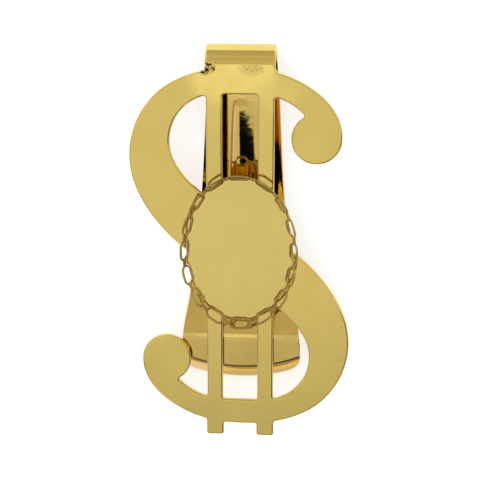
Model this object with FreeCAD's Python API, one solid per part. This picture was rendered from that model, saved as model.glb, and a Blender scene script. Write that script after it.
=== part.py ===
import FreeCAD, Part
import math
import os

# Money clip blank: a dollar-sign front plate, a sprung bow over the top and a
# back tongue, all bent from one brass sheet, with an oval lace-edge cup for a
# 25 x 18 mm cabochon soldered on the front.
# Millimetres. The clip lies on its tongue: +Z is up, out of the front plate,
# and +Y points to the bow. The origin is under the middle of the whole clip.

V = FreeCAD.Vector
X_AXIS = V(1, 0, 0)
Y_AXIS = V(0, 1, 0)
Z_AXIS = V(0, 0, 1)

# ---- driving dimensions ----
SHEET = 1.0              # brass sheet of plate, bow and tongue
CLIP_LENGTH = 69.8       # feet of the bars to the crown of the bow
BOW_RADIUS = 3.3         # outside of the bow
BAND_HALF = 5.95         # half width of the band that bends over
GRIP_GAP = 0.3           # tongue pad to back of the plate, with nothing held

SIGN_Y = -0.7            # centre of the dollar sign, which has half-turn symmetry
BAR_X = 4.45             # centre of each vertical bar
BAR_WIDTH = 2.8
FOOT_WIDTH = 3.1
FOOT_LENGTH = 3.2
BAND_LOW = 28.0          # inside the upper stroke, where bars end and band begins
SHOULDER_R = 1.0         # from the band into the shoulders of the sign
CORNER_R = 0.45          # bars into strokes, and the corners of the feet
FRONT_ROUND = 0.28       # eased edges of the sheet
BACK_ROUND = 0.15

CUP_Y = -0.25            # centre of the oval cup
STONE_LENGTH = 25.0      # standard oval cabochon
STONE_WIDTH = 18.0
CUP_SHEET = 0.35
CUP_RIM = 0.52           # sheet beyond the stone, under the lace
CUP_ROUND = 0.12         # eased lower edge of the cup
FLOOR_GAP = 0.1          # from the raised floor to the lace
LEDGE_DROP = 0.1         # the rim is coined down this far below the floor
SOLDER = 0.1             # film of solder under the cup
SOLDER_R = 1.2
SOLDER_Y = 8.0           # from the middle of the cup

LOOP_COUNT = 16
LOOP_LENGTH = 3.5        # outside, along the rim
LOOP_HEIGHT = 2.9        # outside, up the wall
WIRE = 0.42              # thickness of the lace wire
FLARE_DEG = 20.0         # lean of the lace wall, outwards
LINK_R = 0.26            # short link between two loops
SEAT_SINK = 0.06         # flat left on each loop where it is soldered to the rim

# ---- derived levels and places ----
TOP = 2 * BOW_RADIUS                 # front face of the plate
PLATE_BACK = TOP - SHEET
BOW_Y = CLIP_LENGTH / 2 - BOW_RADIUS
FEET_Y = -CLIP_LENGTH / 2
PAD_TOP = PLATE_BACK - GRIP_GAP      # front face of the tongue's contact pad
CUP_BOTTOM = TOP + SOLDER
CUP_FLOOR = CUP_BOTTOM + CUP_SHEET
CUP_LEDGE = CUP_FLOOR - LEDGE_DROP


def save(shape, node):
    shape.exportStep("parts/" + node + ".step")


def spline(points):
    """Smooth edge through a few points."""
    curve = Part.BSplineCurve()
    curve.interpolate(Points=points)
    return curve.toShape()


def on_circle(centre, radius, degrees):
    angle = math.radians(degrees)
    return centre + V(radius * math.cos(angle), radius * math.sin(angle), 0)


def arc(centre, radius, start, end):
    """Arc edge about centre, from one angle to the other, in degrees."""
    middle = on_circle(centre, radius, (start + end) / 2)
    first = on_circle(centre, radius, start)
    last = on_circle(centre, radius, end)
    return Part.Arc(first, middle, last).toShape()


def prism(edges, z, height):
    wire = Part.Wire(Part.__sortEdges__(edges))
    face = Part.Face(wire)
    face.translate(V(0, 0, z))
    return face.extrude(V(0, 0, height))


def sharp_uprights(solid):
    """Upright edges where two side walls meet at a corner."""
    found = []
    for edge in solid.Edges:
        ends = [vertex.Point for vertex in edge.Vertexes]
        if len(ends) != 2 or (ends[0] - ends[1]).cross(Z_AXIS).Length > 1e-6:
            continue
        walls = solid.ancestorsOfType(edge, Part.Face)
        middle = (ends[0] + ends[1]) / 2
        normals = [wall.normalAt(*wall.Surface.parameter(middle)) for wall in walls]
        if normals[0].getAngle(normals[1]) > math.radians(15):
            found.append(edge)
    return found


# ---- the dollar sign ----
INNER_BOWL = V(-3.94, 19.23, 0)
INNER_BOWL_R = 8.23
OUTER_BOWL = V(4.28, -16.61, 0)
OUTER_BOWL_R = 14.87
BALL = V(-13.06, -19.95, 0)
BALL_R = 4.34
NOTCH_DEG = -63.3        # where the ball meets the stroke's inner edge
ARM_R = 10.5             # under the upper stroke, towards its ball
ARM_X = 3.2              # where that arc begins
ARM_BEND = (7.2, 0.85)   # a place on it: x, and how far it has dropped
DIAGONAL_DEG = (215, 26)           # where the diagonal leaves each bowl
DIAGONAL = [(-9.1, 12.45), (-6.9, 10.45), (1.6, 4.95), (10.4, -0.85), (15.2, -5.95)]
FOOT_DEG = -42                     # where the lower stroke leaves its bowl
FOOT = [(13.6, -28.2), (10.4, -30.1), (6.1, -31.45), (0, -31.95), (-6.1, -31.25),
        (-11.5, -28.95), (-14.9, -26.2), (-16.85, -23.1)]


def half_letter():
    """One half of the S outline about its own centre: notch to notch."""
    stroke_y = INNER_BOWL.y + INNER_BOWL_R
    arm = V(ARM_X, stroke_y - ARM_R, 0)
    arm_top = on_circle(arm, ARM_R, 90)
    notch = on_circle(BALL, BALL_R, NOTCH_DEG) * -1
    bend = V(ARM_BEND[0], stroke_y - ARM_BEND[1], 0)
    bowl_top = on_circle(INNER_BOWL, INNER_BOWL_R, 90)
    diagonal = [on_circle(INNER_BOWL, INNER_BOWL_R, DIAGONAL_DEG[0])]
    diagonal += [V(x, y, 0) for x, y in DIAGONAL]
    diagonal.append(on_circle(OUTER_BOWL, OUTER_BOWL_R, DIAGONAL_DEG[1]))
    foot = [on_circle(OUTER_BOWL, OUTER_BOWL_R, FOOT_DEG)]
    foot += [V(x, y, 0) for x, y in FOOT]
    foot.append(on_circle(BALL, BALL_R, 180))
    return [Part.Arc(notch, bend, arm_top).toShape(),
            Part.LineSegment(arm_top, bowl_top).toShape(),
            arc(INNER_BOWL, INNER_BOWL_R, 90, DIAGONAL_DEG[0]),
            spline(diagonal),
            arc(OUTER_BOWL, OUTER_BOWL_R, DIAGONAL_DEG[1], FOOT_DEG),
            spline(foot),
            arc(BALL, BALL_R, 180, NOTCH_DEG)]


def letter_s():
    edges = []
    for turn in (0, 180):
        for edge in half_letter():
            copy = edge.copy()
            copy.rotate(V(0, 0, 0), Z_AXIS, turn)
            copy.translate(V(0, SIGN_Y, 0))
            edges.append(copy)
    return prism(edges, PLATE_BACK, SHEET)


def block(x_low, x_high, y_low, y_high, z_low, z_high):
    return Part.makeBox(x_high - x_low, y_high - y_low, z_high - z_low, V(x_low, y_low, z_low))


def rounded_corners(plate):
    """Round the corners of the blank in plan: wide at the shoulders, small elsewhere."""
    shoulders = []
    corners = []
    for edge in sharp_uprights(plate):
        y = edge.CenterOfMass.y
        if y > BOW_Y - 0.1:
            continue
        if y > BAND_LOW:
            shoulders.append(edge)
        else:
            corners.append(edge.CenterOfMass)
    plate = plate.makeFillet(SHOULDER_R, shoulders)
    edges = [edge for edge in sharp_uprights(plate)
             if min((edge.CenterOfMass - corner).Length for corner in corners) < 0.01]
    return plate.makeFillet(CORNER_R, edges)


def rounded_face_edges(solid, z, radius):
    """Ease every edge of the level face at height z, but not at the bow."""
    edges = []
    for edge in solid.Edges:
        box = edge.BoundBox
        if abs(box.ZMin - z) < 1e-4 and abs(box.ZMax - z) < 1e-4 and box.YMin < BOW_Y - 0.01:
            edges.append(edge)
    return solid.makeFillet(radius, edges)


def dollar_plate():
    solids = [block(-BAND_HALF, BAND_HALF, BAND_LOW, BOW_Y, PLATE_BACK, TOP)]
    for x in (-BAR_X, BAR_X):
        solids.append(block(x - BAR_WIDTH / 2, x + BAR_WIDTH / 2,
                            FEET_Y + FOOT_LENGTH, BAND_LOW, PLATE_BACK, TOP))
        solids.append(block(x - FOOT_WIDTH / 2, x + FOOT_WIDTH / 2,
                            FEET_Y, FEET_Y + FOOT_LENGTH, PLATE_BACK, TOP))
    plate = letter_s().multiFuse(solids).removeSplitter()
    plate = rounded_corners(plate)
    plate = rounded_face_edges(plate, TOP, FRONT_ROUND)
    plate = rounded_face_edges(plate, PLATE_BACK, BACK_ROUND)
    return plate.Solids[0]


# ---- the sprung bow ----
def spring_bend():
    """Half-round bow that carries the band over to the tongue."""
    centre = V(-BAND_HALF, BOW_Y, BOW_RADIUS)
    outer = Part.makeCylinder(BOW_RADIUS, 2 * BAND_HALF, centre, X_AXIS)
    inner = Part.makeCylinder(BOW_RADIUS - SHEET, 2 * BAND_HALF, centre, X_AXIS)
    front = block(-BAND_HALF, BAND_HALF, BOW_Y, BOW_Y + BOW_RADIUS, 0, TOP)
    return outer.cut(inner).common(front).Solids[0]


# ---- the back tongue ----
KNEE_Y = -4.6            # the tongue leaves the flat and rises to the plate
PAD_Y = -16.4            # its contact pad begins
KNEE_R = 9.0
PAD_R = 6.0
PADDLE_HALF = 10.5
SIDE = [(BAND_HALF, BOW_Y), (6.35, 26.0), (6.7, 19.0), (7.05, 12.0), (7.55, 5.0),
        (8.35, -3.0), (9.35, -10.5), (10.2, -15.5), (PADDLE_HALF, -19.6)]
LIP_LENGTH = 1.9
LIP_DEG = 34.0           # turn of the lip, away from the plate
LIP_FOLD_R = 1.4
LIP_AXIS_Y = 5.6         # the lip is folded along an arc about this point
LIP_END = 29.9           # from that point to the tongue's end
LIP_INNER = 26.5         # from that point to the seam between pad and lip
PADDLE_CORNER_R = 3.0
BEAD_HEIGHT = 0.4
BEAD_ROOT = 0.2          # the bead is drawn from this far inside the sheet
BEAD = [(23.4, 3.3), (12.0, 4.6), (0.5, 5.8)]      # y, and the width of the bead there


def rounded_path(corners, radii):
    """Lines joined by tangent arcs; corners are (y, z) pairs."""
    points = [V(0, y, z) for y, z in corners]
    edges = []
    start = points[0]
    for index in range(1, len(points) - 1):
        back = (points[index - 1] - points[index]).normalize()
        ahead = (points[index + 1] - points[index]).normalize()
        half = back.getAngle(ahead) / 2
        reach = radii[index - 1] / math.tan(half)
        first = points[index] + back * reach
        last = points[index] + ahead * reach
        inward = (back + ahead).normalize()
        depth = radii[index - 1] / math.sin(half) - radii[index - 1]
        edges.append(Part.LineSegment(start, first).toShape())
        edges.append(Part.Arc(first, points[index] + inward * depth, last).toShape())
        start = last
    edges.append(Part.LineSegment(start, points[-1]).toShape())
    return edges


def tongue_strip():
    """Side profile of the sheet, drawn from the bow to the start of the lip."""
    rise = PAD_TOP - SHEET
    slope = math.atan2(rise, KNEE_Y - PAD_Y)
    shift = SHEET * math.tan(slope / 2)
    end_y = LIP_AXIS_Y - LIP_END
    back = rounded_path([(BOW_Y, 0), (KNEE_Y, 0), (PAD_Y, rise), (end_y, rise)],
                        [KNEE_R, PAD_R + SHEET])
    front = rounded_path([(BOW_Y, SHEET), (KNEE_Y + shift, SHEET),
                          (PAD_Y + shift, PAD_TOP), (end_y, PAD_TOP)],
                         [KNEE_R - SHEET, PAD_R])
    caps = [Part.LineSegment(V(0, BOW_Y, 0), V(0, BOW_Y, SHEET)).toShape(),
            Part.LineSegment(V(0, end_y, rise), V(0, end_y, PAD_TOP)).toShape()]
    wire = Part.Wire(Part.__sortEdges__(back + front + caps))
    face = Part.Face(wire)
    face.translate(V(-2 * PADDLE_HALF, 0, 0))
    return face.extrude(V(4 * PADDLE_HALF, 0, 0))


def tongue_outline():
    """Plan of the tongue as a tall prism: neck, flare, paddle and arched end."""
    centre = V(0, LIP_AXIS_Y, 0)
    corner_x = PADDLE_HALF - PADDLE_CORNER_R
    reach = LIP_END - PADDLE_CORNER_R
    corner_y = LIP_AXIS_Y - math.sqrt(reach * reach - corner_x * corner_x)
    turn = math.degrees(math.atan2(corner_y - LIP_AXIS_Y, corner_x))
    edges = []
    for sign in (1, -1):
        edges.append(spline([V(sign * x, y, 0) for x, y in SIDE]))
        edges.append(Part.LineSegment(V(sign * PADDLE_HALF, SIDE[-1][1], 0),
                                      V(sign * PADDLE_HALF, corner_y, 0)).toShape())
        corner = V(sign * corner_x, corner_y, 0)
        if sign > 0:
            edges.append(arc(corner, PADDLE_CORNER_R, 0, turn))
        else:
            edges.append(arc(corner, PADDLE_CORNER_R, 180, 180 - turn))
    edges.append(arc(centre, LIP_END, turn, -180 - turn))
    edges.append(Part.LineSegment(V(-BAND_HALF, BOW_Y, 0), V(BAND_HALF, BOW_Y, 0)).toShape())
    return prism(edges, -SHEET, TOP + 2 * SHEET)


def lip_ring():
    """Flat ring that folds down at its edge, turned about the lip's axis."""
    fold = LIP_END - LIP_LENGTH
    slope = math.radians(LIP_DEG)
    shift = SHEET * math.tan(slope / 2)
    low = PAD_TOP - SHEET
    start = LIP_INNER - SHEET
    end = LIP_END + SHEET
    front_end = PAD_TOP - (end - fold) * math.tan(slope)
    back_end = low - (end - fold + shift) * math.tan(slope)
    front = rounded_path([(start, PAD_TOP), (fold, PAD_TOP), (end, front_end)], [LIP_FOLD_R])
    back = rounded_path([(start, low), (fold - shift, low), (end, back_end)],
                        [LIP_FOLD_R - SHEET])
    caps = [Part.LineSegment(V(0, start, low), V(0, start, PAD_TOP)).toShape(),
            Part.LineSegment(V(0, end, back_end), V(0, end, front_end)).toShape()]
    wire = Part.Wire(Part.__sortEdges__(front + back + caps))
    ring = Part.Face(wire).revolve(V(0, 0, 0), Z_AXIS, 360)
    ring.translate(V(0, LIP_AXIS_Y, 0))
    return ring


def bead_section(y, width):
    """Upright slice of the bead: an arc over the tongue's front face."""
    half = width / 2
    left = V(-half, y, SHEET)
    right = V(half, y, SHEET)
    crown = Part.Arc(left, V(0, y, SHEET + BEAD_HEIGHT), right).toShape()
    base = SHEET - BEAD_ROOT
    sides = Part.makePolygon([right, V(half, y, base), V(-half, y, base), left])
    return Part.Wire([crown] + sides.Edges)


def bead_end(y, width):
    """Round end of the bead: half a slice turned about its upright middle line."""
    half = width / 2
    top = V(0, y, SHEET + BEAD_HEIGHT)
    rim = V(half, y, SHEET)
    radius = (half * half + BEAD_HEIGHT * BEAD_HEIGHT) / (2 * BEAD_HEIGHT)
    bow = half / 2
    sag = radius - math.sqrt(radius * radius - bow * bow)
    crown = Part.Arc(top, V(bow, y, top.z - sag), rim).toShape()
    base = SHEET - BEAD_ROOT
    sides = Part.makePolygon([rim, V(half, y, base), V(0, y, base), top])
    face = Part.Face(Part.Wire([crown] + sides.Edges))
    return face.revolve(V(0, y, 0), Z_AXIS, 360)


def neck_bead():
    """Stiffening bead pressed along the neck, wider towards the paddle."""
    sections = [bead_section(y, width) for y, width in BEAD]
    body = Part.makeLoft(sections, True, True)
    return body.multiFuse([bead_end(*BEAD[0]), bead_end(*BEAD[-1])])


def back_tongue():
    """Neck and pad as the strip bends them, then the lip folded along its arc."""
    outline = tongue_outline()
    disc = Part.makeCylinder(LIP_INNER, TOP + 2 * SHEET, V(0, LIP_AXIS_Y, -SHEET))
    upper = block(-2 * PADDLE_HALF, 2 * PADDLE_HALF, LIP_AXIS_Y, CLIP_LENGTH,
                  -SHEET, TOP + SHEET)
    within = disc.fuse(upper)
    neck = tongue_strip().common(outline).common(within)
    lip = lip_ring().common(outline).cut(within)
    bead = neck_bead()
    groove = bead.copy()
    groove.translate(V(0, 0, -SHEET))
    tongue = neck.multiFuse([lip, bead]).cut(groove)
    return tongue.removeSplitter().Solids[0]


# ---- the oval cup ----
def oval(half_length, half_width, z, height):
    """Oval disc, its long axis along Y."""
    ellipse = Part.Ellipse(V(0, 0, 0), half_length, half_width).toShape()
    face = Part.Face(Part.Wire([ellipse]))
    face.rotate(V(0, 0, 0), Z_AXIS, 90)
    face.translate(V(0, CUP_Y, z))
    return face.extrude(V(0, 0, height))


def setting_base():
    """Stamped oval: a raised floor for the stone inside a rim that carries the lace."""
    rim = oval(STONE_LENGTH / 2 + CUP_RIM, STONE_WIDTH / 2 + CUP_RIM, CUP_BOTTOM,
               CUP_SHEET - LEDGE_DROP)
    rim = rounded_face_edges(rim, CUP_BOTTOM, CUP_ROUND)
    floor = oval(STONE_LENGTH / 2 - FLOOR_GAP, STONE_WIDTH / 2 - FLOOR_GAP, CUP_LEDGE,
                 LEDGE_DROP)
    return rim.fuse(floor).removeSplitter().Solids[0]


def solder_joints():
    """Solder films between the cup and the blank: on each bar and on the diagonal."""
    places = [(x, CUP_Y + y) for x in (-BAR_X, BAR_X) for y in (SOLDER_Y, -SOLDER_Y)]
    places.append((0, CUP_Y))
    films = [Part.makeCylinder(SOLDER_R, SOLDER, V(x, y, TOP)) for x, y in places]
    return Part.makeCompound(films)


def rim_point(half_length, half_width, angle):
    return V(-half_width * math.sin(angle), -half_length * math.cos(angle), 0)


def even_angles(half_length, half_width, count):
    """Oval angles that share the rim out evenly, from its lowest point round."""
    steps = 3600
    lengths = [0.0]
    last = rim_point(half_length, half_width, 0)
    for step in range(1, steps + 1):
        point = rim_point(half_length, half_width, 2 * math.pi * step / steps)
        lengths.append(lengths[-1] + (point - last).Length)
        last = point
    angles = []
    step = 0
    for index in range(count):
        while lengths[step] < lengths[-1] * index / count:
            step += 1
        angles.append(2 * math.pi * step / steps)
    return angles


def wire_loop():
    """One oval loop of lace wire, flat on the XY plane, its long axis along X."""
    half_long = (LOOP_LENGTH - WIRE) / 2
    half_high = (LOOP_HEIGHT - WIRE) / 2
    ring = Part.Ellipse(V(0, 0, 0), half_long, half_high).toShape()
    section = Part.Circle(V(half_long, 0, 0), Y_AXIS, WIRE / 2).toShape()
    loop = Part.Wire([ring]).makePipeShell([Part.Wire([section])], True, False)
    if loop.Volume < 0:
        loop.reverse()
    return loop


def placed(shape, origin, x_dir, y_dir, z_dir):
    """The shape with its own axes turned to the given ones, at origin."""
    turn = FreeCAD.Matrix(x_dir.x, y_dir.x, z_dir.x, origin.x,
                          x_dir.y, y_dir.y, z_dir.y, origin.y,
                          x_dir.z, y_dir.z, z_dir.z, origin.z,
                          0, 0, 0, 1)
    copy = shape.copy()
    copy.transformShape(turn, True)
    return copy


def lace_edge():
    """Flared wall of oval wire loops, linked side by side round the cup."""
    flare = math.radians(FLARE_DEG)
    half_high = (LOOP_HEIGHT - WIRE) / 2
    lean = half_high * math.sin(flare)
    half_length = (STONE_LENGTH + WIRE) / 2 + lean
    half_width = (STONE_WIDTH + WIRE) / 2 + lean
    height = CUP_LEDGE + WIRE / 2 - SEAT_SINK + half_high * math.cos(flare)
    angles = even_angles(half_length, half_width, LOOP_COUNT)
    centres = [rim_point(half_length, half_width, angle) + V(0, CUP_Y, height)
               for angle in angles]
    loop = wire_loop()
    solids = []
    for index, angle in enumerate(angles):
        out = V(-math.sin(angle) / half_width, -math.cos(angle) / half_length, 0).normalize()
        along = Z_AXIS.cross(out)
        up = Z_AXIS * math.cos(flare) + out * math.sin(flare)
        solids.append(placed(loop, centres[index], along, up, along.cross(up)))
        span = centres[(index + 1) % LOOP_COUNT] - centres[index]
        inset = LOOP_LENGTH / 2 - WIRE / 2
        link_start = centres[index] + V(span).normalize() * inset
        solids.append(Part.makeCylinder(LINK_R, span.Length - 2 * inset, link_start, span))
    lace = solids[0].multiFuse(solids[1:])
    below = oval(STONE_LENGTH, STONE_WIDTH, CUP_LEDGE - LOOP_HEIGHT, LOOP_HEIGHT)
    return lace.cut(below).removeSplitter().Solids[0]


def build():
    os.makedirs("parts", exist_ok=True)
    save(dollar_plate(), "dollar_plate")
    save(spring_bend(), "spring_bend")
    save(back_tongue(), "back_tongue")
    save(setting_base(), "setting_base")
    save(lace_edge(), "lace_edge")
    save(solder_joints(), "solder_joints")


build()
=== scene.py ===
import math
import random

import bmesh
import bpy
from mathutils import Matrix, Vector


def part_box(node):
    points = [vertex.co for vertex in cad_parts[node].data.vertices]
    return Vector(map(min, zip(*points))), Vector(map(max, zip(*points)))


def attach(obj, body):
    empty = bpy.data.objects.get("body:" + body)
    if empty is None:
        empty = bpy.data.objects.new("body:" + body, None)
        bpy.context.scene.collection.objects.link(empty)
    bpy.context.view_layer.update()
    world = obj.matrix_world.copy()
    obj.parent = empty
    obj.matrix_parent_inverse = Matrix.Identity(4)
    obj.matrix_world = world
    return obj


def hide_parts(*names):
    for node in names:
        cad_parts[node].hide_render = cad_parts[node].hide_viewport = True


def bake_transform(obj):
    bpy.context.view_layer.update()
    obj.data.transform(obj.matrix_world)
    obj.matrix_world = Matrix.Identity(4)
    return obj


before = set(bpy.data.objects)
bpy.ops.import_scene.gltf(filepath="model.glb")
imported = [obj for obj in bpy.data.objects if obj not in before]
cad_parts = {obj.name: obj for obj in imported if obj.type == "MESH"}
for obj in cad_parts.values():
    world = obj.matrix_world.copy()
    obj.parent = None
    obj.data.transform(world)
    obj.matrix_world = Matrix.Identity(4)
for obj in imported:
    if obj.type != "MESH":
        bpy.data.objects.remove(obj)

# Gold-plated money clip: dollar-sign plate, sprung bow, back tongue, and an
# oval lace-edge cup. Metres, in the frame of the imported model.

MM = 0.001
Z_AXIS = Vector((0, 0, 1))
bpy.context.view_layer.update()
random.seed(7)

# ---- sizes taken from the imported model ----
plate_low, plate_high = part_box("dollar_plate")
bow_low, bow_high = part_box("spring_bend")
tongue_low, tongue_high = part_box("back_tongue")
cup_low, cup_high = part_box("setting_base")

TOP = plate_high[2]
PLATE_BACK = plate_low[2]
SHEET = TOP - PLATE_BACK
BOW_Y = bow_low[1]
BOW_RADIUS = bow_high[1] - bow_low[1]
BAND_HALF = bow_high[0]
PAD_TOP = tongue_high[2]
TONGUE_END = tongue_low[1]
PADDLE_HALF = tongue_high[0]
CUP_FLOOR = cup_high[2]
CUP_Y = (cup_low[1] + cup_high[1]) / 2
EDGE_ROUND = 0.25 * MM


# ---- small mesh helpers ----
def mesh_object(name, verts, faces):
    mesh = bpy.data.meshes.new(name)
    mesh.from_pydata([tuple(v) for v in verts], [], faces)
    mesh.update()
    obj = bpy.data.objects.new(name, mesh)
    bpy.context.scene.collection.objects.link(obj)
    return obj


def smooth(obj, degrees=35):
    obj.data.polygons.foreach_set("use_smooth", [True] * len(obj.data.polygons))
    obj.data.set_sharp_from_angle(angle=math.radians(degrees))
    obj.data.update()


def grid_object(name, rows):
    """Open sheet through rows of points."""
    count = len(rows[0])
    verts = [point for row in rows for point in row]
    faces = []
    for i in range(len(rows) - 1):
        for j in range(count - 1):
            a = i * count + j
            faces.append((a, a + 1, a + count + 1, a + count))
    return mesh_object(name, verts, faces)


def thicken(obj, thickness, keep_y):
    """Give a sheet its thickness about its middle, and round its rims, except the cut at y = keep_y."""
    modifier = obj.modifiers.new("sheet", "SOLIDIFY")
    modifier.thickness = thickness
    modifier.offset = 0
    modifier.use_even_offset = True
    graph = bpy.context.evaluated_depsgraph_get()
    solid = bpy.data.meshes.new_from_object(obj.evaluated_get(graph))
    obj.modifiers.clear()
    obj.data = solid
    bm = bmesh.new()
    bm.from_mesh(solid)
    rims = []
    for edge in bm.edges:
        if len(edge.link_faces) != 2 or edge.calc_face_angle() < math.radians(60):
            continue
        if all(abs(vert.co.y - keep_y) < 1e-6 for vert in edge.verts):
            continue
        rims.append(edge)
    bmesh.ops.bevel(bm, geom=rims, offset=EDGE_ROUND, segments=4, profile=0.5,
                    affect="EDGES", clamp_overlap=True)
    bmesh.ops.recalc_face_normals(bm, faces=bm.faces)
    bm.to_mesh(solid)
    bm.free()
    return obj


def tube(name, points, radius, closed=True, sides=12):
    """Round wire along a list of points; radius may be a list with one value per point."""
    count = len(points)
    radii = radius if isinstance(radius, list) else [radius] * count
    verts = []
    side = None
    for i, point in enumerate(points):
        ahead = points[(i + 1) % count] if closed or i < count - 1 else point
        behind = points[i - 1] if closed or i > 0 else point
        tangent = (ahead - behind).normalized()
        if side is None:
            side = tangent.orthogonal().normalized()
        side = (side - tangent * side.dot(tangent)).normalized()
        other = tangent.cross(side)
        for k in range(sides):
            angle = 2 * math.pi * k / sides
            verts.append(point + (side * math.cos(angle) + other * math.sin(angle)) * radii[i])
    faces = []
    spans = count if closed else count - 1
    offset = 0
    if closed:
        first, last = verts[0] - points[0], verts[-sides] - points[-1]
        tangent = (points[0] - points[-1]).normalized()
        swung = (last - tangent * last.dot(tangent)).normalized()
        turn = math.atan2(first.cross(swung).dot(tangent), first.dot(swung))
        offset = round(turn / (2 * math.pi / sides))
    for i in range(spans):
        shift = offset if closed and i == count - 1 else 0
        for k in range(sides):
            a = i * sides + k
            b = i * sides + (k + 1) % sides
            c = ((i + 1) % count) * sides + (k + 1 + shift) % sides
            d = ((i + 1) % count) * sides + (k + shift) % sides
            faces.append((a, b, c, d))
    if not closed:
        faces.append(tuple(range(sides))[::-1])
        faces.append(tuple(range((count - 1) * sides, count * sides)))
    return mesh_object(name, verts, faces)


def join(name, parts):
    """One mesh from several, keeping each part's faces as they are."""
    bm = bmesh.new()
    for part in parts:
        bm.from_mesh(part.data)
        bpy.data.objects.remove(part)
    mesh = bpy.data.meshes.new(name)
    bm.to_mesh(mesh)
    bm.free()
    obj = bpy.data.objects.new(name, mesh)
    bpy.context.scene.collection.objects.link(obj)
    return obj


# ---- materials ----
def gold(name, colour, deep, roughness, wave, peel=0.0000012, scratch=0.5, scars=()):
    """Polished gold plating: two close tones, hairline scratches and a slightly uneven surface.

    Each scar is a pitted patch: centre, stretch by axis, reach, grain, depth, and the colour of
    its pits or None.
    """
    material = bpy.data.materials.new(name)
    material.use_nodes = True
    nodes, links = material.node_tree.nodes, material.node_tree.links
    shader = nodes["Principled BSDF"]
    shader.inputs["Metallic"].default_value = 1.0
    place = nodes.new("ShaderNodeTexCoord")

    def noise(scale, detail, stretch=(1, 1, 1)):
        mapping = nodes.new("ShaderNodeMapping")
        mapping.inputs["Scale"].default_value = stretch
        links.new(place.outputs["Object"], mapping.inputs["Vector"])
        texture = nodes.new("ShaderNodeTexNoise")
        texture.inputs["Scale"].default_value = scale
        texture.inputs["Detail"].default_value = detail
        links.new(mapping.outputs["Vector"], texture.inputs["Vector"])
        return texture.outputs["Fac"]

    def spread(value, low, high, out_low, out_high):
        node = nodes.new("ShaderNodeMapRange")
        node.inputs["From Min"].default_value = low
        node.inputs["From Max"].default_value = high
        node.inputs["To Min"].default_value = out_low
        node.inputs["To Max"].default_value = out_high
        links.new(value, node.inputs["Value"])
        return node.outputs["Result"]

    tone = nodes.new("ShaderNodeMix")
    tone.data_type = "RGBA"
    tone.inputs["A"].default_value = (*colour, 1)
    tone.inputs["B"].default_value = (*deep, 1)
    links.new(spread(noise(140, 3), 0.35, 0.68, 0, 1), tone.inputs["Factor"])
    links.new(tone.outputs["Result"], shader.inputs["Base Color"])

    smear = noise(420, 4)
    hair = noise(2600, 2, (1, 0.06, 1))
    rough = nodes.new("ShaderNodeMath")
    rough.operation = "ADD"
    links.new(spread(smear, 0.3, 0.7, roughness * 0.75, roughness * 1.35), rough.inputs[0])
    links.new(spread(hair, 0.62, 0.75, 0, 0.05 * scratch), rough.inputs[1])
    links.new(rough.outputs["Value"], shader.inputs["Roughness"])

    def bump(height, strength, distance, below=None):
        node = nodes.new("ShaderNodeBump")
        node.inputs["Strength"].default_value = strength
        node.inputs["Distance"].default_value = distance
        links.new(height, node.inputs["Height"])
        if below:
            links.new(below, node.inputs["Normal"])
        return node.outputs["Normal"]

    uneven = bump(noise(95, 1), 1.0, wave)
    pebbled = bump(noise(1100, 2), 1.0, peel, uneven)
    fine = bump(hair, 1.0, 0.0000010 * scratch, pebbled)
    for centre, stretch, reach, grain, depth, stain in scars:
        shifted = nodes.new("ShaderNodeVectorMath")
        shifted.operation = "SUBTRACT"
        shifted.inputs[1].default_value = centre
        links.new(place.outputs["Object"], shifted.inputs[0])
        scaled = nodes.new("ShaderNodeVectorMath")
        scaled.operation = "MULTIPLY"
        scaled.inputs[1].default_value = stretch
        links.new(shifted.outputs["Vector"], scaled.inputs[0])
        length = nodes.new("ShaderNodeVectorMath")
        length.operation = "LENGTH"
        links.new(scaled.outputs["Vector"], length.inputs[0])
        near = spread(length.outputs["Value"], reach * 0.4, reach, 1, 0)
        pits = nodes.new("ShaderNodeMath")
        pits.operation = "MULTIPLY"
        links.new(near, pits.inputs[0])
        links.new(spread(noise(grain, 1), 0.3, 0.7, -0.5, 0.5), pits.inputs[1])
        fine = bump(pits.outputs["Value"], 1.0, depth, fine)
        if stain:
            dark = nodes.new("ShaderNodeMix")
            dark.data_type = "RGBA"
            dark.inputs["B"].default_value = (*stain, 1)
            links.new(spread(pits.outputs["Value"], 0.02, 0.10, 0, 1), dark.inputs["Factor"])
            links.new(shader.inputs["Base Color"].links[0].from_socket, dark.inputs["A"])
            links.new(dark.outputs["Result"], shader.inputs["Base Color"])
    links.new(fine, shader.inputs["Normal"])
    return material


def dress(obj, material):
    obj.data.materials.clear()
    obj.data.materials.append(material)


PALE = (0.81, 0.622, 0.182)
DEEP = (0.78, 0.592, 0.165)
# two marks on the outside of the bend
BEND_MARKS = [((1.9 * MM, 31.1 * MM, 6.6 * MM), (1, 2, 1), 2.5 * MM, 3000, 0.000018, None),
              ((-6.0 * MM, 31.3 * MM, 6.6 * MM), (1, 1.4, 1), 1.9 * MM, 2200, 0.00020,
               (0.03, 0.02, 0.005))]
polished = gold("polished_gold", PALE, DEEP, 0.06, 0.00006, scars=BEND_MARKS)
leaf_gold = gold("leaf_gold", (0.73, 0.535, 0.16), (0.68, 0.48, 0.135), 0.035, 0.00002, 0.0000035, 0.4)
cup_gold = gold("cup_gold", (0.82, 0.64, 0.20), (0.80, 0.62, 0.19), 0.10, 0.00004)
lace_gold = gold("lace_gold", (0.62, 0.47, 0.13), (0.34, 0.235, 0.055), 0.12, 0.000004, 0.000008)
solder_gold = gold("solder_gold", (0.70, 0.54, 0.2), (0.6, 0.45, 0.15), 0.2, 0.00001)


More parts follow.
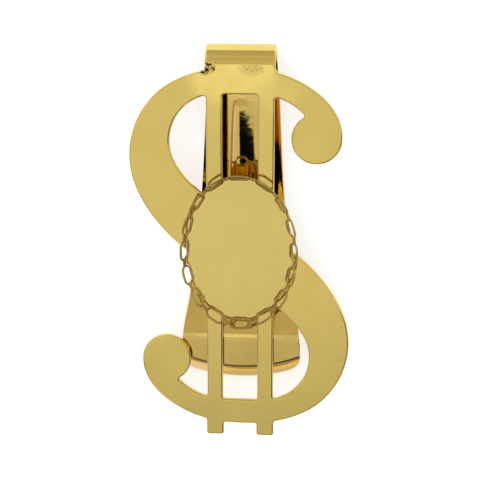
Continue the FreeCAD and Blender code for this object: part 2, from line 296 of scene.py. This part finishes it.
def light_table():
    """White acrylic sheet of a light table, lit a little from below."""
    material = bpy.data.materials.new("light_table")
    material.use_nodes = True
    nodes, links = material.node_tree.nodes, material.node_tree.links
    shader = nodes["Principled BSDF"]
    shader.inputs["Roughness"].default_value = 0.9
    shader.inputs["Specular IOR Level"].default_value = 0.1
    shader.inputs["Emission Color"].default_value = (1, 1, 1, 1)
    shader.inputs["Emission Strength"].default_value = 0.60
    place = nodes.new("ShaderNodeTexCoord")
    texture = nodes.new("ShaderNodeTexNoise")
    texture.inputs["Scale"].default_value = 900
    links.new(place.outputs["Object"], texture.inputs["Vector"])
    tone = nodes.new("ShaderNodeMix")
    tone.data_type = "RGBA"
    tone.inputs["A"].default_value = (0.52, 0.52, 0.52, 1)
    tone.inputs["B"].default_value = (0.50, 0.50, 0.50, 1)
    links.new(texture.outputs["Fac"], tone.inputs["Factor"])
    links.new(tone.outputs["Result"], shader.inputs["Base Color"])
    return material


# ---- camera ----
TILT_UP = math.radians(15)       # towards the bow
TILT_SIDE = math.radians(4.7)    # towards +X
CAMERA_DISTANCE = 0.240
LENS = 103.9
LOOK_AT = Vector((0, 1.4 * MM, TOP))

TOWARD = Vector((math.sin(TILT_SIDE), math.sin(TILT_UP) * math.cos(TILT_SIDE),
                 math.cos(TILT_UP) * math.cos(TILT_SIDE)))


def add_camera():
    data = bpy.data.cameras.new("camera")
    data.lens = LENS
    data.sensor_width = 36
    data.clip_start = 0.01
    data.clip_end = 10
    camera = bpy.data.objects.new("camera", data)
    bpy.context.scene.collection.objects.link(camera)
    upright = Vector((0, 1, 0))
    up = (upright - TOWARD * upright.dot(TOWARD)).normalized()
    right = up.cross(TOWARD)
    camera.matrix_world = Matrix((
        (right.x, up.x, TOWARD.x, 0), (right.y, up.y, TOWARD.y, 0),
        (right.z, up.z, TOWARD.z, 0), (0, 0, 0, 1)))
    camera.location = LOOK_AT + TOWARD * CAMERA_DISTANCE
    bpy.context.scene.camera = camera


# ---- the sprung bow ----
BOW_STEPS = 56
BOW_COLUMNS = 24
CUT_HOLD = math.radians(0.2)     # a narrow first and last strip keeps the shading flat at the cuts


def bow_angles():
    """Angles from the plate, over the crown, to the tongue."""
    between = [math.pi * k / BOW_STEPS for k in range(1, BOW_STEPS)]
    return [0, CUT_HOLD] + between + [math.pi - CUT_HOLD, math.pi]


def make_bow():
    radius = BOW_RADIUS - SHEET / 2
    rows = []
    for angle in bow_angles():
        y = BOW_Y + radius * math.sin(angle)
        z = BOW_RADIUS + radius * math.cos(angle)
        rows.append([Vector((BAND_HALF * (2 * j / BOW_COLUMNS - 1), y, z))
                     for j in range(BOW_COLUMNS + 1)])
    bow = thicken(grid_object("sprung_bow", rows), SHEET, BOW_Y)
    smooth(bow)
    dress(bow, polished)
    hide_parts("spring_bend")
    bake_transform(bow)
    return bow


# ---- the back tongue ----
KNEE_Y = -4.6 * MM         # the tongue leaves the flat and rises to the plate
PAD_Y = -16.4 * MM         # its contact pad begins
KNEE_R = 9.0 * MM
PAD_R = 6.0 * MM
LIP_AXIS_Y = 5.6 * MM      # the lip is folded along an arc about this place
LIP_LENGTH = 1.9 * MM
LIP_DEG = 34.0
LIP_FOLD_R = 1.4 * MM
CORNER_R = 3.0 * MM
LIP_END = LIP_AXIS_Y - TONGUE_END
CURL_FROM = -17.6 * MM     # the rows of the mesh bend from straight to the lip's arc
CURL_SPAN = 3.2 * MM
TONGUE_COLUMNS = 150
# half width and y, in mm, from the bow down to the lip
NECK_SIDE = [(BAND_HALF / MM, BOW_Y / MM), (6.35, 26.0), (6.7, 19.0), (7.05, 12.0), (7.55, 5.0),
             (8.35, -3.0), (9.35, -10.5), (10.2, -15.5), (10.5, -19.6)]
BEAD = [(23.4, 3.3), (12.0, 4.6), (0.5, 5.8)]      # y, and the bead's width there, in mm
BEAD_COLUMNS = (-0.34, 0.32)     # where the mesh columns of its two edges are, from -1 to 1
BEAD_HEIGHT = 0.28 * MM
BEAD_MIDDLE = -0.05 * MM
BEAD_CREST = -0.48         # from -1 at the bead's left edge to 1 at its right edge
BEAD_LEFT_FALL = 0.25      # how far the left side drops from the crest to its edge
BEAD_RIGHT_POWER = 1.55    # how round the right side is
BEAD_LEFT_EDGE = 0.13      # width of the left edge, as a part of the half width
BEAD_RIGHT_EDGE = 0.04
RIM_LIFT = 0.09 * MM       # the neck's long edges turn up a little,
RIM_POWER = 12             # close to the edge only, and not at the neck's two ends
RIM_KNEE_SPAN = 9.0 * MM
RIM_BOW_SPAN = 3.0 * MM


def side_at(y):
    """Half width of the tongue at y: a smooth curve through its outline points."""
    points = [(a * MM, b * MM) for a, b in NECK_SIDE]
    if y <= points[-1][1]:
        return points[-1][0]
    for k in range(len(points) - 1):
        if y >= points[k + 1][1]:
            before = points[max(k - 1, 0)]
            first, last = points[k], points[k + 1]
            after = points[min(k + 2, len(points) - 1)]
            t = (y - first[1]) / (last[1] - first[1])
            span = last[1] - first[1]
            slope_a = (last[0] - before[0]) / (last[1] - before[1]) * span
            slope_b = (after[0] - first[0]) / (after[1] - first[1]) * span
            return ((2 * t ** 3 - 3 * t ** 2 + 1) * first[0] + (t ** 3 - 2 * t ** 2 + t) * slope_a
                    + (3 * t ** 2 - 2 * t ** 3) * last[0] + (t ** 3 - t ** 2) * slope_b)
    return points[-1][0]


def bent_path(corners, radii, line_step, arc_step):
    """Points along lines joined by tangent arcs, as (y, z) pairs."""
    points = [Vector(corners[0])]
    start = Vector(corners[0])

    def line_to(end):
        length = (end - start).length
        count = max(1, round(length / line_step))
        for k in range(1, count + 1):
            points.append(start.lerp(end, k / count))

    for index in range(1, len(corners) - 1):
        corner = Vector(corners[index])
        back = (Vector(corners[index - 1]) - corner).normalized()
        ahead = (Vector(corners[index + 1]) - corner).normalized()
        half = back.angle(ahead) / 2
        radius = radii[index - 1]
        first = corner + back * radius / math.tan(half)
        centre = corner + (back + ahead).normalized() * radius / math.sin(half)
        line_to(first)
        turn = math.pi - 2 * half
        sense = 1 if back.x * ahead.y - back.y * ahead.x < 0 else -1
        count = max(4, round(math.degrees(turn) / arc_step))
        arm = first - centre
        for k in range(1, count + 1):
            angle = sense * turn * k / count
            points.append(centre + Vector((arm.x * math.cos(angle) - arm.y * math.sin(angle),
                                           arm.x * math.sin(angle) + arm.y * math.cos(angle))))
        start = points[-1]
    line_to(Vector(corners[-1]))
    return points


def eased(value):
    """0 to 1 with a soft start and end."""
    value = max(0.0, min(1.0, value))
    return value * value * (3 - 2 * value)


def bead_half(y):
    """Half width of the pressed bead at y."""
    top, middle, low = BEAD
    first, last = (top, middle) if y > middle[0] * MM else (middle, low)
    t = max(0.0, min(1.0, (first[0] - y / MM) / (first[0] - last[0])))
    return (first[1] + (last[1] - first[1]) * t) / 2 * MM


def bead_height(x, y):
    """Height of the pressed bead above the tongue's face: a sharp left edge, a long right side."""
    top, _, low = BEAD
    across = (x - BEAD_MIDDLE) / bead_half(y)
    beyond = max(0.0, (y / MM - top[0]) / (top[1] / 2), (low[0] - y / MM) / (low[1] / 2))
    reach = math.hypot(across, beyond)
    if across < BEAD_CREST:
        side = 1 - BEAD_LEFT_FALL * ((across - BEAD_CREST) / (1 + BEAD_CREST)) ** 2
        return BEAD_HEIGHT * max(0.0, side - beyond ** 2) * eased((1 - reach) / BEAD_LEFT_EDGE)
    side = 1 - ((across - BEAD_CREST) / (1 - BEAD_CREST)) ** BEAD_RIGHT_POWER
    return BEAD_HEIGHT * max(0.0, side - beyond ** 2) * eased((1 - reach) / BEAD_RIGHT_EDGE)


def across_tongue(u, y, width):
    """Place across the tongue for u from -1 to 1; the columns keep to the bead's two edges."""
    left, right = BEAD_COLUMNS
    knots = [(-1.0, -width), (left, BEAD_MIDDLE - bead_half(y)), (right, BEAD_MIDDLE + bead_half(y)),
             (1.0, width)]
    for (u_a, x_a), (u_b, x_b) in zip(knots, knots[1:]):
        if u <= u_b:
            break
    return x_a + (x_b - x_a) * (u - u_a) / (u_b - u_a)


def lip_half_angle(reach):
    """Half angle of the tongue's plan at a distance from the lip's axis."""
    corner_x = PADDLE_HALF - CORNER_R
    far = LIP_END - CORNER_R
    corner_angle = math.asin(corner_x / far)
    straight = math.asin(min(1, PADDLE_HALF / reach))
    start = math.hypot(PADDLE_HALF, far * math.cos(corner_angle))
    if reach <= start:
        return straight
    ratio = (reach ** 2 + far ** 2 - CORNER_R ** 2) / (2 * reach * far)
    return corner_angle + math.acos(max(-1, min(1, ratio)))


def tongue_path():
    """Middle of the tongue's sheet seen from the side, from the bow to the lip's end, as (y, z)."""
    half_sheet = SHEET / 2
    rise = PAD_TOP - half_sheet
    slope = math.atan2(PAD_TOP - SHEET, KNEE_Y - PAD_Y)
    shift = half_sheet * math.tan(slope / 2)
    fold_y = LIP_AXIS_Y - (LIP_END - LIP_LENGTH)
    lip_slope = math.radians(LIP_DEG)
    fold_shift = half_sheet * math.tan(lip_slope / 2)
    corners = [(BOW_Y, half_sheet), (KNEE_Y + shift, half_sheet), (PAD_Y + shift, rise),
               (fold_y + fold_shift, rise), (TONGUE_END, rise - LIP_LENGTH * math.tan(lip_slope))]
    radii = [KNEE_R - half_sheet, PAD_R + half_sheet, LIP_FOLD_R - half_sheet]
    path = bent_path(corners, radii, 0.5 * MM, 1.5)
    path.insert(1, path[0].lerp(path[1], 0.05))    # keeps the shading flat at the cut
    return path


def tongue_place(u, y):
    """Place in plan, (x, y), of the mesh column u on the row that starts at y."""
    reach = LIP_AXIS_Y - y
    curl = eased((CURL_FROM - y) / CURL_SPAN)
    if curl >= 1:
        angle = lip_half_angle(reach) * u
        return reach * math.sin(angle), LIP_AXIS_Y - reach * math.cos(angle)
    x = across_tongue(u, y, side_at(y))
    if curl <= 0:
        return x, y
    return x, y + curl * (reach - math.sqrt(max(0.0, reach ** 2 - x ** 2)))


def make_tongue():
    rows = []
    for y, z in tongue_path():
        lift = RIM_LIFT * eased((y - KNEE_Y) / RIM_KNEE_SPAN) * eased((BOW_Y - y) / RIM_BOW_SPAN)
        row = []
        for j in range(TONGUE_COLUMNS + 1):
            u = 2 * j / TONGUE_COLUMNS - 1
            x, along = tongue_place(u, y)
            row.append(Vector((x, along, z + bead_height(x, along) + lift * u ** RIM_POWER)))
        rows.append(row)
    tongue = thicken(grid_object("back_leaf", rows), SHEET, BOW_Y)
    smooth(tongue)
    dress(tongue, leaf_gold)
    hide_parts("back_tongue")
    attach(tongue, "tongue")
    return tongue


# ---- the oval cup ----
LOOPS = 16
PER_LOOP = 64
WIRE_R = 0.21 * MM
LOOP_RISE = 1.11 * MM      # from the middle of a loop to the wire at its top or foot
FOOT_OUT = 0.02 * MM       # the wall, outwards from the edge of the stone
MIDDLE_OUT = 0.64 * MM
TOP_OUT = 1.02 * MM
PINCH = 0.80 * WIRE_R / LOOP_RISE      # the two wires press together between loops
LOOP_SHARE = 0.70          # part of each pitch that is open loop, the rest is the pinch
STONE_HALF_LENGTH = 12.5 * MM
STONE_HALF_WIDTH = 9.0 * MM
FLOOR_AT_LINKS = 0.60 * MM     # the floor's edge, outwards from the edge of the stone
FLOOR_AT_LOOPS = -0.12 * MM
OPEN_LOOP = 2              # this loop's foot wire has sprung open
OPEN_FROM, OPEN_TO = 0.08, 0.36        # over this part of the pitch, from the loop's middle
HOOK_R = 0.34 * MM
HOOK_POINTS = 12
HOOK_STEP_DEG = 17


def oval_frames(count):
    """Evenly spaced places round the stone's edge, from the lowest one: (point, outward)."""
    a, b = STONE_HALF_LENGTH, STONE_HALF_WIDTH
    fine = 7200
    points = [Vector((-b * math.sin(2 * math.pi * k / fine), -a * math.cos(2 * math.pi * k / fine), 0))
              for k in range(fine + 1)]
    lengths = [0.0]
    for k in range(fine):
        lengths.append(lengths[-1] + (points[k + 1] - points[k]).length)
    frames = []
    k = 0
    for index in range(count):
        wanted = lengths[-1] * index / count
        while lengths[k + 1] < wanted:
            k += 1
        t = (wanted - lengths[k]) / (lengths[k + 1] - lengths[k])
        point = points[k].lerp(points[k + 1], t)
        out = Vector((point.x / b ** 2, point.y / a ** 2, 0)).normalized()
        frames.append((point + Vector((0, CUP_Y, 0)), out))
    return frames


def lobes():
    """Openness of the lace at each place: 0 at a pinch, 1 at the middle of a loop."""
    found = []
    for index in range(LOOPS * PER_LOOP):
        phase = (index / PER_LOOP + 0.5) % 1.0
        q = abs(phase - 0.5) / (0.5 * LOOP_SHARE)
        found.append((1 - q ** 5) ** 0.5 if q < 1 else 0.0)
    return found


def softened(values, times):
    for _ in range(times):
        values = [(values[k - 1] + 2 * values[k] + values[(k + 1) % len(values)]) / 4
                  for k in range(len(values))]
    return values


def wall_place(frame_at, height, skew=0.0):
    """A place on the lace wall; height runs from -1 at its foot to 1 at its top."""
    point, out = frame_at
    along = Z_AXIS.cross(out)
    offset = (MIDDLE_OUT + (TOP_OUT - FOOT_OUT) / 2 * height
              + ((TOP_OUT + FOOT_OUT) / 2 - MIDDLE_OUT) * height ** 2)
    level = CUP_FLOOR + 0.8 * WIRE_R + LOOP_RISE * (1 + height)
    return point + out * offset + along * skew * height + Vector((0, 0, level))


def hook(frame_at, height):
    """Small curl at the free end of the sprung loop."""
    _, out = frame_at
    along = out.cross(Z_AXIS)
    start = wall_place(frame_at, height)
    up = (wall_place(frame_at, height + 0.1) - start).normalized()
    centre = start + up * HOOK_R
    points = []
    for step in range(1, HOOK_POINTS + 1):
        angle = math.radians(HOOK_STEP_DEG * step - 90)
        points.append(centre + (up * math.sin(angle) - along * math.cos(angle)) * HOOK_R)
    return points


def make_lace():
    frames = oval_frames(LOOPS * PER_LOOP)
    open_share = lobes()
    size = [1 - random.uniform(0.0, 0.10) for _ in range(LOOPS)]
    skews = [random.uniform(-0.16, 0.16) * MM for _ in range(LOOPS)]
    wires = []
    for sense in (1, -1):
        heights, leans = [], []
        for index, share in enumerate(open_share):
            loop = int(index / PER_LOOP + 0.5) % LOOPS
            heights.append(max(PINCH, size[loop] * share))
            leans.append(skews[loop] * share)
        heights = softened(heights, 2)
        points = [wall_place(frames[k], sense * heights[k], leans[k]) for k in range(len(frames))]
        if sense > 0:
            wires.append(tube("wire", points, WIRE_R))
            continue
        last = int(PER_LOOP * (OPEN_LOOP + OPEN_FROM))
        first = int(PER_LOOP * (OPEN_LOOP + OPEN_TO))
        run = points[first:] + points[:last + 1]
        run += hook(frames[last], -heights[last])
        wires.append(tube("wire", run, WIRE_R, closed=False))
    lace = join("lace_wires", wires)
    smooth(lace, 60)
    dress(lace, lace_gold)
    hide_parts("lace_edge")
    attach(lace, "plate")
    return lace


def make_base():
    """Floor of the cup, its edge drawn in under each loop."""
    frames = oval_frames(LOOPS * PER_LOOP)
    edge = [FLOOR_AT_LINKS + (FLOOR_AT_LOOPS - FLOOR_AT_LINKS) * share
            for share in softened(lobes(), 8)]
    low, high = cup_low[2], CUP_FLOOR
    # inset from the edge and level: flat rings, the rounded upper edge, the eased lower edge
    profile = [(0.6 * MM, high), (0.3 * MM, high), (0.16 * MM, high),
               (0.07 * MM, high - 0.02 * MM), (0.015 * MM, high - 0.075 * MM),
               (0.0, high - 0.14 * MM), (0.0, low + 0.12 * MM), (0.03 * MM, low + 0.04 * MM),
               (0.12 * MM, low)]
    count = len(frames)
    verts = [Vector((0, CUP_Y, high))]
    for inset, level in profile:
        verts += [point + out * (edge[k] - inset) + Vector((0, 0, level))
                  for k, (point, out) in enumerate(frames)]
    verts.append(Vector((0, CUP_Y, low)))
    faces = []
    for k in range(count):
        n = (k + 1) % count
        faces.append((0, 1 + n, 1 + k))
        for ring in range(len(profile) - 1):
            a, b = 1 + ring * count, 1 + (ring + 1) * count
            faces.append((a + k, a + n, b + n, b + k))
        lowest = 1 + (len(profile) - 1) * count
        faces.append((len(verts) - 1, lowest + k, lowest + n))
    base = mesh_object("cup_floor", verts, faces)
    smooth(base, 40)
    dress(base, cup_gold)
    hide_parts("setting_base")
    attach(base, "plate")
    return base


# ---- carried-over CAD nodes ----
def dress_node(node, material):
    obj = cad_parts[node]
    obj.data.materials.clear()
    obj.data.materials.append(material)


# ---- the studio ----
FLOOR_HALF = 1.5
FLOOR_LEVEL = -0.02 * MM   # just under the clip, so that the two never share a plane


def add_floor():
    corners = [(-1, -1), (1, -1), (1, 1), (-1, 1)]
    verts = [(x * FLOOR_HALF, y * FLOOR_HALF, FLOOR_LEVEL) for x, y in corners]
    floor = mesh_object("floor", verts, [(0, 1, 2, 3)])
    floor.data.materials.append(light_table())


# The tent's brightness and colour go by direction, a unit vector: x to the right, y towards the
# bow and z up. The ramps in add_world are between values of its components.
NEAR_LEVEL, OVERHEAD_LEVEL = 0.58, 0.80
LOW_FRONT_GAIN = 0.26
# y where each step of the far wall starts and ends, and its change of brightness
FAR_STEPS = [(0.0, 0.05, -0.11), (0.35, 0.55, -0.06), (0.80, 0.95, -0.05)]
FAR_LINE_GAIN = 0.09
LEFT_GAIN = 0.25
STRIP_GAIN = 0.31
GAP_LEVEL = 0.24
SIDE_LEVEL = 0.32
FLAG_LEVEL = 0.003
PLAIN_LEVEL = 1.05         # plain white, which lights the floor and is what the camera sees
WHITE = (1.0, 0.995, 0.97, 1)
VIOLET = (1.0, 0.93, 1.6, 1)
WARM = (1.0, 0.92, 0.80, 1)


def add_world():
    """White tent: a lit strip overhead, a dimmer far side, a dark flag on the right, darker
    sides, and a dark gap low in front."""
    world = bpy.data.worlds.new("tent")
    bpy.context.scene.world = world
    world.use_nodes = True
    nodes, links = world.node_tree.nodes, world.node_tree.links
    place = nodes.new("ShaderNodeTexCoord")
    parts = nodes.new("ShaderNodeSeparateXYZ")
    links.new(place.outputs["Generated"], parts.inputs["Vector"])

    def ramp(source, start, end, first, last):
        node = nodes.new("ShaderNodeMapRange")
        node.interpolation_type = "SMOOTHSTEP"
        node.inputs["From Min"].default_value = start
        node.inputs["From Max"].default_value = end
        node.inputs["To Min"].default_value = first
        node.inputs["To Max"].default_value = last
        links.new(source, node.inputs["Value"])
        return node.outputs["Result"]

    def combine(kind, *values):
        node = nodes.new("ShaderNodeMath")
        node.operation = kind
        for socket, value in zip(node.inputs, values):
            if isinstance(value, (int, float)):
                socket.default_value = value
            else:
                links.new(value, socket)
        return node.outputs["Value"]

    def between(source, start, full, fading, end):
        """1 from full to fading, 0 before start and after end."""
        return combine("MULTIPLY", ramp(source, start, full, 0, 1), ramp(source, fading, end, 1, 0))

    def outside(source, start, full, fading, end):
        """0 from full to fading, 1 before start and after end."""
        return combine("MAXIMUM", ramp(source, start, full, 1, 0), ramp(source, fading, end, 0, 1))

    def tinted(factor, colour, below):
        node = nodes.new("ShaderNodeMix")
        node.data_type = "RGBA"
        node.inputs["A"].default_value = WHITE
        node.inputs["B"].default_value = colour
        links.new(factor, node.inputs["Factor"])
        if below:
            links.new(below, node.inputs["A"])
        return node.outputs["Result"]

    x, y, z = (parts.outputs[axis] for axis in "XYZ")
    aside = combine("ABSOLUTE", x)
    # the near wall up to the ceiling, brighter low down, and the far wall's steps and bright seam
    level = ramp(y, -0.43, -0.27, NEAR_LEVEL, OVERHEAD_LEVEL)
    level = combine("ADD", level, ramp(y, -0.78, -0.58, LOW_FRONT_GAIN, 0))
    for start, end, change in FAR_STEPS:
        level = combine("ADD", level, ramp(y, start, end, 0, change))
    level = combine("MULTIPLY_ADD", between(y, 0.62, 0.68, 0.74, 0.80), FAR_LINE_GAIN, level)
    # a glow on the left, and the dark gap low in front
    left = between(x, -0.44, -0.36, -0.23, -0.165)
    level = combine("MULTIPLY_ADD", left, LEFT_GAIN, level)
    gap = combine("MAXIMUM", outside(y, -0.93, -0.84, -0.52, -0.43), ramp(aside, 0.28, 0.42, 0, 1))
    level = combine("MULTIPLY", level, combine("MAXIMUM", gap, GAP_LEVEL))
    # the lit strip overhead, the black flag right of it, and the dim sides
    strip = combine("MULTIPLY", between(x, -0.118, -0.100, -0.065, -0.045),
                    between(y, -0.170, -0.145, -0.015, 0.020))
    level = combine("MULTIPLY_ADD", strip, STRIP_GAIN, level)
    flag = combine("MAXIMUM", ramp(x, 0.008, 0.026, 1, FLAG_LEVEL), ramp(y, -0.168, -0.160, 0, 1))
    flag = combine("MAXIMUM", flag, ramp(z, 0.80, 0.70, 0, 1))
    level = combine("MULTIPLY", level, flag)
    sides = combine("MAXIMUM", ramp(aside, 0.42, 0.62, 1, SIDE_LEVEL),
                    outside(y, -0.55, -0.45, -0.08, -0.03))
    sides = combine("MAXIMUM", sides, ramp(z, 0.38, 0.48, 1, 0))
    level = combine("MULTIPLY", level, sides)

    # violet on the left and low in front, and warm over the far half
    low_front = combine("MULTIPLY", ramp(z, 0.45, 0.80, 0.55, 0), ramp(y, -0.30, -0.05, 1, 0))
    colour = tinted(combine("MAXIMUM", low_front, left), VIOLET, None)
    colour = tinted(ramp(y, 0.0, 0.06, 0, 1), WARM, colour)
    tent = nodes["Background"]
    links.new(colour, tent.inputs["Color"])
    links.new(level, tent.inputs["Strength"])

    plain = nodes.new("ShaderNodeBackground")
    plain.inputs["Color"].default_value = (1, 1, 1, 1)
    plain.inputs["Strength"].default_value = PLAIN_LEVEL
    rays = nodes.new("ShaderNodeLightPath")
    mix = nodes.new("ShaderNodeMixShader")
    links.new(combine("MAXIMUM", rays.outputs["Is Diffuse Ray"], rays.outputs["Is Camera Ray"]),
              mix.inputs["Fac"])
    links.new(tent.outputs["Background"], mix.inputs[1])
    links.new(plain.outputs["Background"], mix.inputs[2])
    links.new(mix.outputs["Shader"], nodes["World Output"].inputs["Surface"])


KEY_PLACE = Vector((-0.25, 0.25, 0.55))


def add_lights():
    """A soft light over the left shoulder, aimed at the origin; reflections don't show it."""
    data = bpy.data.lights.new("soft_key", "AREA")
    data.shape = "RECTANGLE"
    data.size = 0.5
    data.size_y = 0.4
    data.energy = 0.6
    key = bpy.data.objects.new("soft_key", data)
    bpy.context.scene.collection.objects.link(key)
    key.location = KEY_PLACE
    key.rotation_euler = KEY_PLACE.to_track_quat("Z", "Y").to_euler()
    key.visible_glossy = False


add_camera()
add_world()
add_lights()
add_floor()
make_bow()
make_tongue()
make_base()
make_lace()
dress_node("dollar_plate", polished)
dress_node("solder_joints", solder_gold)

bpy.context.scene.view_settings.view_transform = "Standard"
